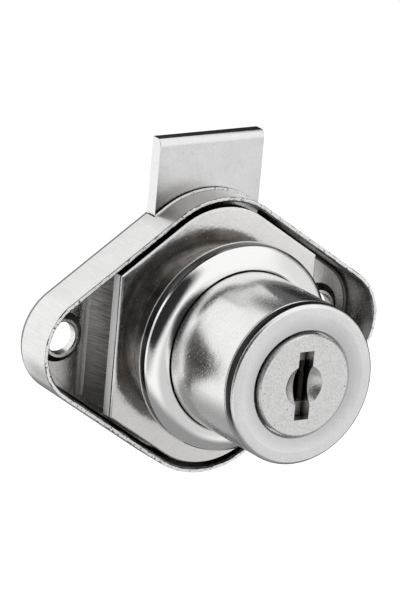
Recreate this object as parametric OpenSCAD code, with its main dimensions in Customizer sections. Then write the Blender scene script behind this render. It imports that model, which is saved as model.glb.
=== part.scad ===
// Furniture lock with a sliding bolt, keyed from the front.
// Frame: X along the case, +Y to the back, +Z up the way the bolt comes out.
// The origin lies on the barrel axis, midway between the screw holes, on the back face of the case.
// Sub-parts are drawn with z as the distance in front of that back face, then stood up by stand().

/* [Case] */
// Distance from the barrel axis to the centre of each rounded end
case_end_x = 15.1; // [13:0.1:20]
// Radius of the rounded ends
case_end_r = 6.25; // [5.5:0.05:8]
// Distance from the barrel axis to the centre of the top and bottom roundings
case_peak_z = 5.6; // [4.5:0.1:7]
// Radius of the top and bottom roundings
case_peak_r = 10; // [9.5:0.1:12]
// Depth of the folded case from its back face to its front edge
case_depth = 5.8; // [5.4:0.1:8]
// Thickness of the case sheet
sheet_t = 0.55; // [0.4:0.05:0.8]

/* [Screw holes] */
// Distance between the two screw holes
screw_spacing = 33; // [32:0.5:36]
// Diameter of a screw hole
screw_d = 3.5; // [2.5:0.1:4]
// Width of the drawn collar round a screw hole at the floor
collar_wall = 0.95; // [0.6:0.05:1.2]
// Width of the collar's flat top
collar_top = 0.45; // [0.3:0.05:0.6]
// Height of the collar above the case floor
collar_h = 0.65; // [0.3:0.05:1.2]

/* [Bolt] */
// Width of the bolt
bolt_w = 13.3; // [11:0.1:15]
// Thickness of the bolt
bolt_t = 1.65; // [1.2:0.05:1.9]
// Height of the thrown bolt above the top of the case
bolt_out = 6; // [4:0.1:8]
// Travel of the bolt over half a turn of the key
bolt_throw = 5.5; // [4.5:0.1:6]
// Metal left under the yoke slot of the bolt
bolt_foot = 4.3; // [3:0.1:5]
// Bevel along the front of the bolt's top edge
bolt_bevel = 0.4; // [0.1:0.05:0.6]
// Gap on each side of the bolt in its slot and guide
bolt_side_gap = 0.2; // [0.1:0.05:0.4]
// Gap in front of and behind the bolt
bolt_face_gap = 0.05; // [0.03:0.01:0.1]

/* [Bolt guide] */
// Thickness of the guide sheet on the case floor
guide_t = 0.7; // [0.5:0.05:1]
// Width of the guide sheet
guide_w = 26.7; // [24:0.1:28]
// Distance of the guide's edge from the outside of the case
guide_inset = 1.6; // [1.3:0.05:2.2]

/* [Lock body] */
// Width of the plate between its straight ends
plate_w = 25; // [24:0.1:26]
// Thickness of the plate
plate_t = 1.5; // [1.2:0.1:1.8]
// Gap between the plate and the case wall
plate_gap = 0.55; // [0.2:0.05:0.8]
// Width of each leg between the plate and the guide
leg_w = 3.2; // [2.8:0.1:3.6]
// Height of each leg
leg_h = 14; // [12:0.5:15]
// Diameter of the pegs that are staked behind the case
peg_d = 2; // [1.6:0.1:2.2]
// Distance of the pegs above and below the barrel axis
peg_z = 4.6; // [4:0.1:5]
// Width of the staked head around a peg
peg_head = 0.6; // [0.4:0.05:0.8]
// Height of the staked head
peg_head_h = 0.6; // [0.3:0.05:1]
// Clearance of a peg in its hole
peg_gap = 0.04; // [0.02:0.01:0.1]

/* [Barrel] */
// Diameter of the barrel
barrel_d = 17.9; // [17.4:0.1:19]
// Distance from the plate's front to the barrel's front face
barrel_l = 17.2; // [16.8:0.1:22]
// Step from the barrel down to its waist inside the trim ring
waist_step = 0.4; // [0.3:0.05:0.6]
// Depth of the neck behind the lip
neck_cut = 0.25; // [0.1:0.05:0.5]
// Length of the neck and lip
lip_l = 1.55; // [1.2:0.05:2.2]
// Step from the barrel up to the lip
lip_step = 0.05; // [0.02:0.01:0.15]
// Radius of the lip's front edge
lip_round = 0.6; // [0.3:0.05:0.8]
// Bevel at the mouth of the barrel
mouth_bevel = 0.25; // [0.1:0.05:0.4]

/* [Trim ring] */
// Diameter of the ring's flange
ring_d = 23.2; // [22.6:0.1:26]
// Clearance of the ring over the lip
ring_gap = 0.15; // [0.1:0.01:0.3]
// Wall of the tube behind the flange
ring_tube = 1; // [0.7:0.05:1.3]
// Length of the tube behind the flange
ring_tube_l = 3.45; // [2:0.05:5]
// Height of the flange's outer side
ring_side = 1.12; // [0.8:0.02:1.6]
// Rise of the flange's sloping face
ring_rise = 0.86; // [0.4:0.02:1.2]
// Radius of the ring's front edges
ring_round = 0.2; // [0.1:0.02:0.3]

/* [Plug] */
// Diameter of the plug
plug_d = 10.4; // [10.1:0.05:11]
// Running clearance of the plug in the barrel
plug_gap = 0.05; // [0.03:0.01:0.08]
// Step from the plug out to its head
head_step = 0.44; // [0.3:0.02:0.6]
// Length of the plug's head
head_l = 1.4; // [1:0.05:1.6]
// Gap around the plug's head
head_gap = 0.16; // [0.08:0.02:0.3]
// Distance that the plug's face stands in front of the barrel
plug_proud = 0.35; // [0:0.05:0.6]
// Bevel around the plug's face
plug_bevel = 0.15; // [0.05:0.05:0.3]
// Step from the plug in to its tail
tail_step = 0.2; // [0.15:0.05:0.35]
// Gap between the plug's tail and the bolt
tail_gap = 0.25; // [0.15:0.05:0.35]

/* [Keyway] */
// Width of the keyway
key_w = 1.83; // [1.5:0.05:2]
// Height of the keyway
key_h = 7.6; // [7:0.1:8.4]
// Diameter of the dish that leads the key in
dish_d = 4.6; // [3.5:0.1:5]
// Depth of the dish
dish_depth = 0.9; // [0.5:0.05:1.2]

/* [Wafers] */
// Width of a wafer
wafer_w = 4.5; // [4:0.1:5]
// Thickness of a wafer
wafer_t = 0.9; // [0.6:0.05:1.1]
// Distance from one wafer to the next
wafer_pitch = 2.2; // [2:0.05:2.3]
// Distance from the plug's face to the first wafer
wafer_start = 1.65; // [1.5:0.05:2]
// Clearance of a wafer in the plug
wafer_gap = 0.05; // [0.03:0.01:0.1]
// Travel of a wafer into the barrel's groove
wafer_throw = 0.8; // [0.5:0.05:0.9]
// Height of the window that the key passes through
window_h = 4.6; // [4.2:0.1:5.6]
// Side gap between the window and the keyway
window_gap = 0.18; // [0.1:0.02:0.3]
// Length of the ear that the spring pushes on
ear_l = 1.3; // [1.1:0.05:1.5]
// Height of the ear
ear_h = 0.9; // [0.6:0.05:1]
// Height of the ear's underside above the barrel axis
ear_z = 0.4; // [0.2:0.05:0.6]

/* [Wafer springs] */
// Outer diameter of a spring
spring_d = 1.2; // [1:0.05:1.25]
// Diameter of the spring wire
wire_d = 0.2; // [0.14:0.01:0.22]
// Length of a pressed spring
spring_l = 2.9; // [2.6:0.05:3]
// Number of turns
spring_turns = 4; // [3:1:4]
// Gap at the ends of a spring
spring_gap = 0.03; // [0.02:0.01:0.05]
// Gap around a spring in its pocket
pocket_gap = 0.1; // [0.05:0.01:0.15]

/* [Drive pin and clip] */
// Diameter of the pin that throws the bolt
pin_d = 2.6; // [2.2:0.1:2.8]
// Length of the pin inside the plug
pin_hold = 3; // [2:0.1:4]
// Gap between the pin and the case floor
pin_end_gap = 0.2; // [0.1:0.05:0.3]
// Clearance of the pin in the plug
pin_fit = 0.01; // [0.01:0.005:0.02]
// Running clearance of the pin in the bolt
pin_run = 0.12; // [0.08:0.01:0.2]
// Thickness of the retaining clip
clip_t = 0.5; // [0.4:0.05:0.6]
// Width of the clip's band outside its groove
clip_band = 1.6; // [1.2:0.05:2]
// Depth of the clip's groove
clip_groove = 0.4; // [0.3:0.05:0.5]
// Gap on each side of the clip
clip_gap = 0.1; // [0.05:0.01:0.12]
// Angle of the clip's open side
clip_open = 100; // [60:5:140]

/* [Hidden] */
$fn = 96;
wafer_count = 6;
cut = 1; // how far a cutter runs past what it cuts
reach = 60; // larger than the part

// Distances in front of the back face
floor_z = sheet_t;
guide_z = floor_z + guide_t;
bolt_back_z = floor_z + bolt_face_gap;
bolt_front_z = bolt_back_z + bolt_t;
tail_z = bolt_front_z + tail_gap;
plate_back_z = case_depth - plate_t;
clip_z = plate_back_z - clip_gap - clip_t;
ring_back_z = case_depth + bolt_face_gap;
ring_edge_z = ring_back_z + ring_tube_l + ring_side;
ring_front_z = ring_edge_z + ring_rise;
waist_end_z = ring_front_z + ring_gap;
face_z = case_depth + barrel_l;
neck_z = face_z - lip_l;
plug_face_z = face_z + plug_proud;
head_back_z = plug_face_z - head_l;
head_floor_z = head_back_z - plug_gap;

// Radii
plug_r = plug_d / 2;
bore_r = plug_r + plug_gap;
head_r = plug_r + head_step;
mouth_r = head_r + head_gap;
tail_r = plug_r - tail_step;
barrel_r = barrel_d / 2;
waist_r = barrel_r - waist_step;
lip_r = barrel_r + lip_step;
neck_r = barrel_r - neck_cut;
ring_bore_r = lip_r + ring_gap;
ring_r = ring_d / 2;
pin_r = pin_d / 2;
clip_groove_r = tail_r - clip_groove;
clip_r = clip_groove_r + clip_band + clip_groove;
screw_r = screw_d / 2;
peg_r = peg_d / 2;

// Bolt and its drive. The yoke slot takes up the difference between the crank's sine and an even travel.
crank = bolt_throw / 2;
even_travel_slack = 0.2106 * crank;
yoke_h = pin_d + 2 * (even_travel_slack + pin_run);
yoke_w = 2 * (crank + pin_r + pin_run);
case_top_z = case_peak_z + case_peak_r;
bolt_top = case_top_z + bolt_out;
bolt_bottom = crank - yoke_h / 2 - bolt_foot;
channel_w = bolt_w + 2 * bolt_side_gap;
channel_bottom = bolt_bottom - bolt_throw - bolt_side_gap;
leg_x = channel_w / 2 + leg_w / 2;

// Wafers, their slots and springs
wafer_r = plug_r - wafer_gap;
groove_w = wafer_w + 8 * wafer_gap;
groove_r = plug_r + wafer_throw + 6 * wafer_gap;
wafer_slot_w = wafer_w + 2 * wafer_gap;
wafer_slot_t = wafer_t + 2 * wafer_gap;
last_wafer_z = plug_face_z - wafer_start - (wafer_count - 1) * wafer_pitch - wafer_t;
key_end_z = last_wafer_z - wafer_gap;
spring_x = wafer_w / 2 + wafer_gap + pocket_gap + spring_d / 2;
pocket_w = spring_d + 2 * pocket_gap;
pocket_top = ear_z + ear_h + wafer_throw + 2 * wafer_gap;
spring_top = ear_z - spring_gap;
pocket_bottom = spring_top - spring_l - spring_gap;
dish_r = (pow(dish_d / 2, 2) + pow(dish_depth, 2)) / (2 * dish_depth);

// Direction square to the straight sides of the case
case_d = norm([case_end_x, case_peak_z]);
side_a = atan2(case_peak_z, -case_end_x) - acos((case_end_r - case_peak_r) / case_d);

// Turns a shape drawn along z so that z points to the front and y points up
module stand() {
    rotate([90, 0, 0]) children();
}

// Point at angle a on a circle
function on_circle(x, y, r, a) = [x + r * cos(a), y + r * sin(a)];

// Outline of the case, moved in by inset
module diamond(inset) {
    end_r = case_end_r - inset;
    peak_r = case_peak_r - inset;
    polygon([
        on_circle(case_end_x, 0, end_r, side_a),
        on_circle(0, case_peak_z, peak_r, side_a),
        on_circle(0, case_peak_z, peak_r, 180 - side_a),
        on_circle(-case_end_x, 0, end_r, 180 - side_a),
        on_circle(-case_end_x, 0, end_r, 180 + side_a),
        on_circle(0, -case_peak_z, peak_r, 180 + side_a),
        on_circle(0, -case_peak_z, peak_r, -side_a),
        on_circle(case_end_x, 0, end_r, -side_a)
    ]);
    for (side = [-1, 1]) {
        translate([side * case_end_x, 0]) circle(end_r);
        translate([0, side * case_peak_z]) circle(peak_r);
    }
}

// Puts its child at the two screw holes
module at_screws() {
    for (side = [-1, 1])
        translate([side * screw_spacing / 2, 0, 0]) children();
}

// Puts its child at the four pegs
module at_pegs() {
    for (side = [-1, 1], end = [-1, 1])
        translate([side * leg_x, end * peg_z, 0]) children();
}

// Tube or rod along z between two distances
module rod(r, from, to) {
    translate([0, 0, from]) cylinder(r = r, h = to - from);
}

module lock_case() {
    color("silver") stand() difference() {
        union() {
            difference() {
                linear_extrude(case_depth) diamond(0);
                translate([0, 0, floor_z]) linear_extrude(case_depth) diamond(sheet_t);
            }
            at_screws() translate([0, 0, floor_z])
                cylinder(r1 = screw_r + collar_wall, r2 = screw_r + collar_top, h = collar_h);
        }
        at_screws() rod(screw_r, -cut, floor_z + collar_h + cut);
        at_pegs() rod(peg_r + peg_gap, -cut, floor_z + cut);
        translate([-channel_w / 2, 0, floor_z])
            cube([channel_w, reach, bolt_t + 2 * bolt_face_gap + bolt_side_gap]);
    }
}

module bolt_guide() {
    color("dimgray") stand() translate([0, 0, floor_z]) difference() {
        linear_extrude(guide_t) intersection() {
            diamond(guide_inset);
            square([guide_w, reach], center = true);
        }
        translate([-channel_w / 2, channel_bottom, -cut]) cube([channel_w, reach, guide_t + 2 * cut]);
        at_pegs() rod(peg_r + peg_gap, -cut, guide_t + cut);
    }
}

// Half section of the barrel, with the radius along x and the distance forward along y
module barrel_section() {
    edge = lip_r - lip_round;
    difference() {
        union() {
            polygon([
                [0, plate_back_z], [waist_r, plate_back_z], [waist_r, waist_end_z], [barrel_r, waist_end_z],
                [barrel_r, neck_z], [neck_r, neck_z], [lip_r, face_z - lip_round], [edge, face_z],
                [0, face_z]
            ]);
            translate([edge, face_z - lip_round]) circle(lip_round);
        }
        translate([-cut, plate_back_z - cut]) square([bore_r + cut, reach]);
        translate([0, head_floor_z]) square([mouth_r, reach]);
        polygon([[0, face_z + cut], [mouth_r + mouth_bevel + cut, face_z + cut], [mouth_r, face_z - mouth_bevel],
            [0, face_z - mouth_bevel]]);
    }
}

module lock_body() {
    color("gainsboro") stand() difference() {
        union() {
            translate([0, 0, plate_back_z]) linear_extrude(plate_t) difference() {
                intersection() {
                    diamond(sheet_t + plate_gap);
                    square([plate_w, reach], center = true);
                }
                circle(bore_r);
            }
            rotate_extrude() barrel_section();
            for (side = [-1, 1])
                translate([side * leg_x - leg_w / 2, -leg_h / 2, guide_z])
                    cube([leg_w, leg_h, plate_back_z - guide_z + cut / 2]);
            at_pegs() rod(peg_r, -peg_head_h / 2, guide_z + cut / 2);
            at_pegs() rod(peg_r + peg_head, -peg_head_h, 0);
        }
        translate([-groove_w / 2, -groove_r, plate_back_z - cut])
            cube([groove_w, 2 * groove_r, plug_face_z - wafer_start + 2 * wafer_gap - plate_back_z + cut]);
    }
}

module trim_ring() {
    inner = ring_bore_r + ring_round;
    outer = ring_r - ring_round;
    color("whitesmoke") stand() rotate_extrude() difference() {
        union() {
            translate([0, ring_back_z]) square([ring_bore_r + ring_tube, ring_tube_l + ring_side]);
            polygon([
                [0, ring_edge_z - ring_side], [ring_r, ring_edge_z - ring_side],
                [ring_r, ring_edge_z - ring_round], [outer, ring_edge_z],
                [inner, ring_front_z], [0, ring_front_z]
            ]);
        }
        translate([-cut, ring_back_z - cut]) square([ring_bore_r + cut, reach]);
    }
}

module bolt() {
    color("lightgray") stand() translate([0, 0, bolt_back_z]) difference() {
        translate([-bolt_w / 2, bolt_bottom, 0]) cube([bolt_w, bolt_top - bolt_bottom, bolt_t]);
        translate([-yoke_w / 2, crank - yoke_h / 2, -cut]) cube([yoke_w, yoke_h, bolt_t + 2 * cut]);
        translate([0, bolt_top, bolt_t]) rotate([45, 0, 0])
            cube([bolt_w + cut, sqrt(2) * bolt_bevel, sqrt(2) * bolt_bevel], center = true);
    }
}

// Back of wafer number i
function wafer_z(i) = plug_face_z - wafer_start - (i - 1) * wafer_pitch - wafer_t;

// Odd wafers are pushed up and even ones down
function wafer_turn(i) = i % 2 == 1 ? 0 : 180;

module plug() {
    color("lightgrey") stand() difference() {
        union() {
            rod(plug_r, plate_back_z, plug_face_z - plug_bevel);
            rod(head_r, head_back_z, plug_face_z - plug_bevel);
            translate([0, 0, plug_face_z - plug_bevel])
                cylinder(r1 = head_r, r2 = head_r - plug_bevel, h = plug_bevel);
            rod(tail_r, tail_z, plate_back_z + cut / 2);
        }
        difference() {
            rod(tail_r + cut, clip_z - clip_gap / 4, clip_z + clip_t + clip_gap / 4);
            rod(clip_groove_r, clip_z - cut, clip_z + clip_t + cut);
        }
        translate([0, crank, 0]) rod(pin_r + pin_fit, tail_z - cut, tail_z + pin_hold);
        translate([-key_w / 2, -key_h / 2, key_end_z]) cube([key_w, key_h, reach]);
        translate([0, 0, plug_face_z + dish_r - dish_depth]) sphere(dish_r);
        for (i = [1 : wafer_count])
            translate([0, 0, wafer_z(i) - wafer_gap]) rotate([0, 0, wafer_turn(i)]) {
                translate([-wafer_slot_w / 2, -reach / 2, 0]) cube([wafer_slot_w, reach, wafer_slot_t]);
                translate([wafer_w / 2, pocket_bottom, (wafer_slot_t - pocket_w) / 2])
                    cube([spring_x + pocket_w / 2 - wafer_w / 2, pocket_top - pocket_bottom, pocket_w]);
            }
    }
}

module drive_pin() {
    color("dimgray") stand() translate([0, crank, 0]) rod(pin_r, floor_z + pin_end_gap, tail_z + pin_hold);
}

module retaining_clip() {
    color("darkgray") stand() difference() {
        rod(clip_r, clip_z, clip_z + clip_t);
        rod(clip_groove_r + pin_fit, clip_z - cut, clip_z + clip_t + cut);
        translate([0, 0, clip_z - cut]) linear_extrude(clip_t + 2 * cut)
            polygon([[0, 0], on_circle(0, 0, reach, -90 - clip_open / 2), on_circle(0, 0, reach, -90 + clip_open / 2)]);
    }
}

module wafer(i) {
    color("goldenrod") stand() translate([0, 0, wafer_z(i)]) rotate([0, 0, wafer_turn(i)])
        linear_extrude(wafer_t) difference() {
            union() {
                intersection() {
                    circle(wafer_r);
                    square([wafer_w, reach], center = true);
                }
                translate([0, ear_z]) square([wafer_w / 2 + ear_l, ear_h]);
            }
            square([key_w + 2 * window_gap, window_h], center = true);
        }
}

// Centre of ring k of the spring wire
rings_a_turn = 8;
wire_sides = 6;
coil_r = (spring_d - wire_d) / 2;
coil_rise = spring_l - wire_d;
ring_count = spring_turns * rings_a_turn;
function wire_at(k) = let (a = 360 * k / rings_a_turn)
    [coil_r * cos(a), coil_rise * k / ring_count, coil_r * sin(a)];

// Point of ring k at angle b round the wire
function wire_skin(k, b) = let (a = 360 * k / rings_a_turn)
    wire_at(k) + wire_d / 2 * [cos(b) * cos(a), sin(b), cos(b) * sin(a)];

coil_gap = min([for (k = [0 : ring_count - rings_a_turn]) norm(wire_at(k + rings_a_turn) - wire_at(k)) - wire_d]);
echo(least_gap_between_spring_turns = coil_gap);

module wafer_spring(i) {
    points = [for (k = [0 : ring_count], s = [0 : wire_sides - 1]) wire_skin(k, 360 * s / wire_sides)];
    last = ring_count * wire_sides;
    skin = [for (k = [0 : ring_count - 1], s = [0 : wire_sides - 1], half = [0, 1])
        let (a = k * wire_sides + s, b = k * wire_sides + (s + 1) % wire_sides)
        half == 0 ? [a, b, b + wire_sides] : [a, b + wire_sides, a + wire_sides]];
    start_cap = [for (s = [1 : wire_sides - 2]) [0, s + 1, s]];
    end_cap = [for (s = [1 : wire_sides - 2]) [last, last + s, last + s + 1]];
    color("gold") stand() translate([0, 0, wafer_z(i) + wafer_t / 2]) rotate([0, 0, wafer_turn(i)])
        translate([spring_x, spring_top - spring_l + wire_d / 2, 0])
            polyhedron(points, concat(skin, start_cap, end_cap));
}

lock_case();
bolt_guide();
lock_body();
trim_ring();
bolt();
plug();
drive_pin();
retaining_clip();
for (i = [1 : wafer_count]) {
    wafer(i);
    wafer_spring(i);
}
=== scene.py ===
import math

import bmesh
import bpy
from mathutils import Matrix, Vector, noise


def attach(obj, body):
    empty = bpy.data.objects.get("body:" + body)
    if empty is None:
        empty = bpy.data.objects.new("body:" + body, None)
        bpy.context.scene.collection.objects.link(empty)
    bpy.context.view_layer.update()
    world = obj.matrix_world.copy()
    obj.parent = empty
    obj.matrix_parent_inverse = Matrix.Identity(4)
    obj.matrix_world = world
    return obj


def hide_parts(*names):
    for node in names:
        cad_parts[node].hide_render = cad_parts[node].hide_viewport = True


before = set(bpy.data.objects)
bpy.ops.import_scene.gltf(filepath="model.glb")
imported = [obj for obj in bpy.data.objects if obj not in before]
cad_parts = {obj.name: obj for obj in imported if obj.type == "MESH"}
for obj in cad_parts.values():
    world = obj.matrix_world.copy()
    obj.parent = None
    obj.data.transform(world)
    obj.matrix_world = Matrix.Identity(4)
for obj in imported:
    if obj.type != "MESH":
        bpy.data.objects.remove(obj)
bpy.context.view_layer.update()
mm = 0.001
print("lock frame loaded")


# how shapes are drawn: angles in degrees, steps in an arc, what counts as touching the axis or a plane, and how far
# the normal of a side face turns to x
drawing = {"smoothAngle": 35.0, "bevelAngle": 40.0, "roundSteps": 5, "rodSteps": 32, "onAxis": 1e-6,
           "onPlane": 1e-4, "sideways": 0.5}


# x to the right, up, and fwd = how far in front of the case's back, all in mm
def rowPoint(x, up, fwd):
    return Vector((x * mm, -fwd * mm, up * mm))


# the same three measures of a face's middle, and facing: 1 straight to the front, -1 straight to the back
def facePlace(face):
    return face.center.x / mm, face.center.z / mm, -face.center.y / mm, -face.normal.y


def shadeByAngle(mesh, angle=drawing["smoothAngle"]):
    mesh.polygons.foreach_set("use_smooth", [True] * len(mesh.polygons))
    mesh.set_sharp_from_angle(angle=math.radians(angle))


def meshObject(name, bm):
    mesh = bpy.data.meshes.new(name)
    bm.to_mesh(mesh)
    bm.free()
    piece = bpy.data.objects.new(name, mesh)
    bpy.context.scene.collection.objects.link(piece)
    shadeByAngle(mesh)
    return piece


def closedShape(name, bm):
    bmesh.ops.recalc_face_normals(bm, faces=bm.faces)
    return meshObject(name, bm)


# replaces an object's mesh by what its modifiers make of it
def settle(piece):
    graph = bpy.context.evaluated_depsgraph_get()
    made = bpy.data.meshes.new_from_object(piece.evaluated_get(graph))
    piece.modifiers.clear()
    old = piece.data
    piece.data = made
    made.name = piece.name
    bpy.data.meshes.remove(old)
    shadeByAngle(made)


def combine(piece, tools, operation):
    for tool in tools:
        step = piece.modifiers.new("cut", "BOOLEAN")
        step.operation = operation
        step.solver = "EXACT"
        step.object = tool
    settle(piece)
    for tool in tools:
        bpy.data.objects.remove(tool)


def softenEdges(piece, width, segments):
    step = piece.modifiers.new("soft", "BEVEL")
    step.width = width * mm
    step.segments = segments
    step.limit_method = "ANGLE"
    step.angle_limit = math.radians(drawing["bevelAngle"])
    step.harden_normals = False
    settle(piece)


# rounds the corners of a closed profile whose points are (r, fwd) or (r, fwd, rounding)
def roundedProfile(points):
    steps = drawing["roundSteps"]
    out = []
    count = len(points)
    for i, point in enumerate(points):
        here = Vector(point[:2])
        radius = point[2] if len(point) > 2 else 0
        if not radius:
            out.append(here)
            continue
        before = (Vector(points[i - 1][:2]) - here).normalized()
        after = (Vector(points[(i + 1) % count][:2]) - here).normalized()
        half = before.angle(after) / 2
        run = radius / math.tan(half)
        centre = here + (before + after).normalized() * (radius / math.sin(half))
        a = here + before * run - centre
        b = here + after * run - centre
        for k in range(steps + 1):
            out.append(centre + a.lerp(b, k / steps).normalized() * radius)
    return out


# turns a closed profile round the barrel's axis, or a parallel one
def lathe(name, points, steps, at=(0, 0)):
    bm = bmesh.new()
    turn = [2 * math.pi * k / steps for k in range(steps)]
    columns = []
    for r, fwd in roundedProfile(points):
        if r < drawing["onAxis"]:
            columns.append([bm.verts.new(rowPoint(*at, fwd))])
        else:
            columns.append([bm.verts.new(rowPoint(at[0] + r * math.cos(a), at[1] + r * math.sin(a), fwd))
                            for a in turn])
    for i, one in enumerate(columns):
        two = columns[(i + 1) % len(columns)]
        if len(one) == 1 and len(two) == 1:
            continue
        for k in range(steps):
            n = (k + 1) % steps
            if len(one) == 1:
                bm.faces.new((one[0], two[n], two[k]))
            elif len(two) == 1:
                bm.faces.new((one[k], one[n], two[0]))
            else:
                bm.faces.new((one[k], one[n], two[n], two[k]))
    return closedShape(name, bm)


def rod(name, r, low, high, at):
    return lathe(name, [(0, low), (r, low), (r, high), (0, high)], drawing["rodSteps"], at)


# quads between closed rows of corners
def stitch(bm, rows):
    for one, two in zip(rows, rows[1:]):
        for k in range(len(one)):
            n = (k + 1) % len(one)
            bm.faces.new((one[k], one[n], two[n], two[k]))


# a straight block between two equal loops of points
def slab(name, first, second):
    bm = bmesh.new()
    loops = [[bm.verts.new(point) for point in loop] for loop in (first, second)]
    for loop in loops:
        bm.faces.new(loop)
    stitch(bm, loops)
    return closedShape(name, bm)


# a straight block over a flat outline of (x, up) points
def prism(name, outline, low, high):
    return slab(name, *([rowPoint(x, up, fwd) for x, up in outline] for fwd in (low, high)))


def block(name, left, right, bottom, top, low, high):
    return prism(name, [(left, bottom), (right, bottom), (right, top), (left, top)], low, high)


# the case's outline: two small end arcs and two large middle arcs joined by straight sides
outlineSize = {"endX": 15.1, "endR": 6.25, "peakUp": 5.6, "peakR": 10.0, "arcSteps": 40, "sideSteps": 44}


def straightRun(start, end, steps):
    return [(start[0] + (end[0] - start[0]) * k / steps, start[1] + (end[1] - start[1]) * k / steps)
            for k in range(1, steps)]


def diamondOutline(inset):
    s = outlineSize
    reach = math.hypot(s["endX"], s["peakUp"])
    side = math.atan2(s["peakUp"], -s["endX"]) - math.acos((s["endR"] - s["peakR"]) / reach)
    arcs = [
        (s["endX"], 0, s["endR"], -side, side),
        (0, s["peakUp"], s["peakR"], side, math.pi - side),
        (-s["endX"], 0, s["endR"], math.pi - side, math.pi + side),
        (0, -s["peakUp"], s["peakR"], math.pi + side, 2 * math.pi - side),
    ]
    points = []
    for x, up, r, start, end in arcs:
        arc = []
        for k in range(s["arcSteps"] + 1):
            a = start + (end - start) * k / s["arcSteps"]
            arc.append((x + (r - inset) * math.cos(a), up + (r - inset) * math.sin(a)))
        if points:
            points += straightRun(points[-1], arc[0], s["sideSteps"])
        points += arc
    return points + straightRun(points[-1], points[0], s["sideSteps"])


# cuts an outline off straight at x = half and x = -half
def clipSides(outline, half):
    for sign in (1, -1):
        kept = []
        for k, here in enumerate(outline):
            last = outline[k - 1]
            inHere, inLast = sign * here[0] <= half, sign * last[0] <= half
            if inHere != inLast:
                t = (sign * half - last[0]) / (here[0] - last[0])
                kept.append((sign * half, last[1] + t * (here[1] - last[1])))
            if inHere:
                kept.append(here)
        outline = kept
    return outline


# the noise that all finishes share
marks = {"lineDetail": 4.0, "lineRoughness": 0.65, "grainDetail": 3.0, "cloudDetail": 4.0, "cloudRoughness": 0.6,
         "speckFade": 0.06, "middle": 0.5}
# what a finish has where its own values don't say otherwise
plainLook = {"metal": 1.0, "turn": (0, 0, 0), "lineContrast": 1.8, "line": 0.5, "grain": 0.4, "grainScale": 5200,
             "cloudScale": 420, "speckLevel": 0.66, "pitRough": 0.0, "bumpDepth": 0.010, "wave": 0.0}
vectorSocket, floatSocket = "NodeSocketVector", "NodeSocketFloat"


def addNode(tree, kind, operation=None, values=None, group=None):
    node = tree.nodes.new(kind)
    if operation:
        node.operation = operation
    if group:
        node.node_tree = group
    for socket, value in (values or {}).items():
        node.inputs[socket].default_value = value
    return node


def join(tree, *pairs):
    for source, target in pairs:
        tree.links.new(source, target)


def newGroup(name, inputs, outputs):
    tree = bpy.data.node_groups.new(name, "ShaderNodeTree")
    for socket, kind in inputs:
        tree.interface.new_socket(socket, in_out="INPUT", socket_type=kind)
    for socket in outputs:
        tree.interface.new_socket(socket, in_out="OUTPUT", socket_type=floatSocket)
    return tree, tree.nodes.new("NodeGroupInput"), tree.nodes.new("NodeGroupOutput")


# long thin marks: the stretch makes the noise fine across and slow along
def drawnLinesGroup():
    tree, start, end = newGroup("drawnLines", [("Vector", vectorSocket), ("Stretch", vectorSocket),
                                               ("Contrast", floatSocket)], ["Lines"])
    scale = addNode(tree, "ShaderNodeVectorMath", "MULTIPLY")
    lines = addNode(tree, "ShaderNodeTexNoise", values={
        "Scale": 1.0, "Detail": marks["lineDetail"], "Roughness": marks["lineRoughness"]})
    middle = addNode(tree, "ShaderNodeMath", "SUBTRACT", {1: marks["middle"]})
    spread = addNode(tree, "ShaderNodeMath", "MULTIPLY_ADD", {2: marks["middle"]})
    spread.use_clamp = True
    join(tree, (start.outputs["Vector"], scale.inputs[0]), (start.outputs["Stretch"], scale.inputs[1]),
         (scale.outputs[0], lines.inputs["Vector"]), (lines.outputs[0], middle.inputs[0]),
         (middle.outputs[0], spread.inputs[0]), (start.outputs["Contrast"], spread.inputs[1]),
         (spread.outputs[0], end.inputs["Lines"]))
    return tree


# fine grain of plating, with slow cloudy patches and sparse specks
def platingGrainGroup():
    tree, start, end = newGroup("platingGrain", [
        ("Vector", vectorSocket), ("Grain Scale", floatSocket), ("Cloud Scale", floatSocket),
        ("Speck Level", floatSocket)], ["Grain", "Cloud", "Speck"])
    grain = addNode(tree, "ShaderNodeTexNoise", values={"Detail": marks["grainDetail"]})
    cloud = addNode(tree, "ShaderNodeTexNoise", values={
        "Detail": marks["cloudDetail"], "Roughness": marks["cloudRoughness"]})
    speck = addNode(tree, "ShaderNodeMapRange")
    speck.interpolation_type = "SMOOTHSTEP"
    top = addNode(tree, "ShaderNodeMath", "ADD", {1: marks["speckFade"]})
    for noiseNode, socket in ((grain, "Grain Scale"), (cloud, "Cloud Scale")):
        join(tree, (start.outputs["Vector"], noiseNode.inputs["Vector"]),
             (start.outputs[socket], noiseNode.inputs["Scale"]))
    join(tree, (grain.outputs[0], speck.inputs["Value"]), (start.outputs["Speck Level"], speck.inputs["From Min"]),
         (start.outputs["Speck Level"], top.inputs[0]), (top.outputs[0], speck.inputs["From Max"]),
         (grain.outputs[0], end.inputs["Grain"]), (cloud.outputs[0], end.inputs["Cloud"]),
         (speck.outputs[0], end.inputs["Speck"]))
    return tree


drawnLines = drawnLinesGroup()
platingGrain = platingGrainGroup()


# goes from a base, a colour or a socket, to a tone
def mixTone(tree, factor, base, tone):
    mix = addNode(tree, "ShaderNodeMix")
    mix.data_type = "RGBA"
    mix.inputs["B"].default_value = (*tone, 1)
    join(tree, (factor, mix.inputs["Factor"]))
    if isinstance(base, tuple):
        mix.inputs["A"].default_value = (*base, 1)
    else:
        join(tree, (base, mix.inputs["A"]))
    return mix.outputs["Result"]


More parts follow.
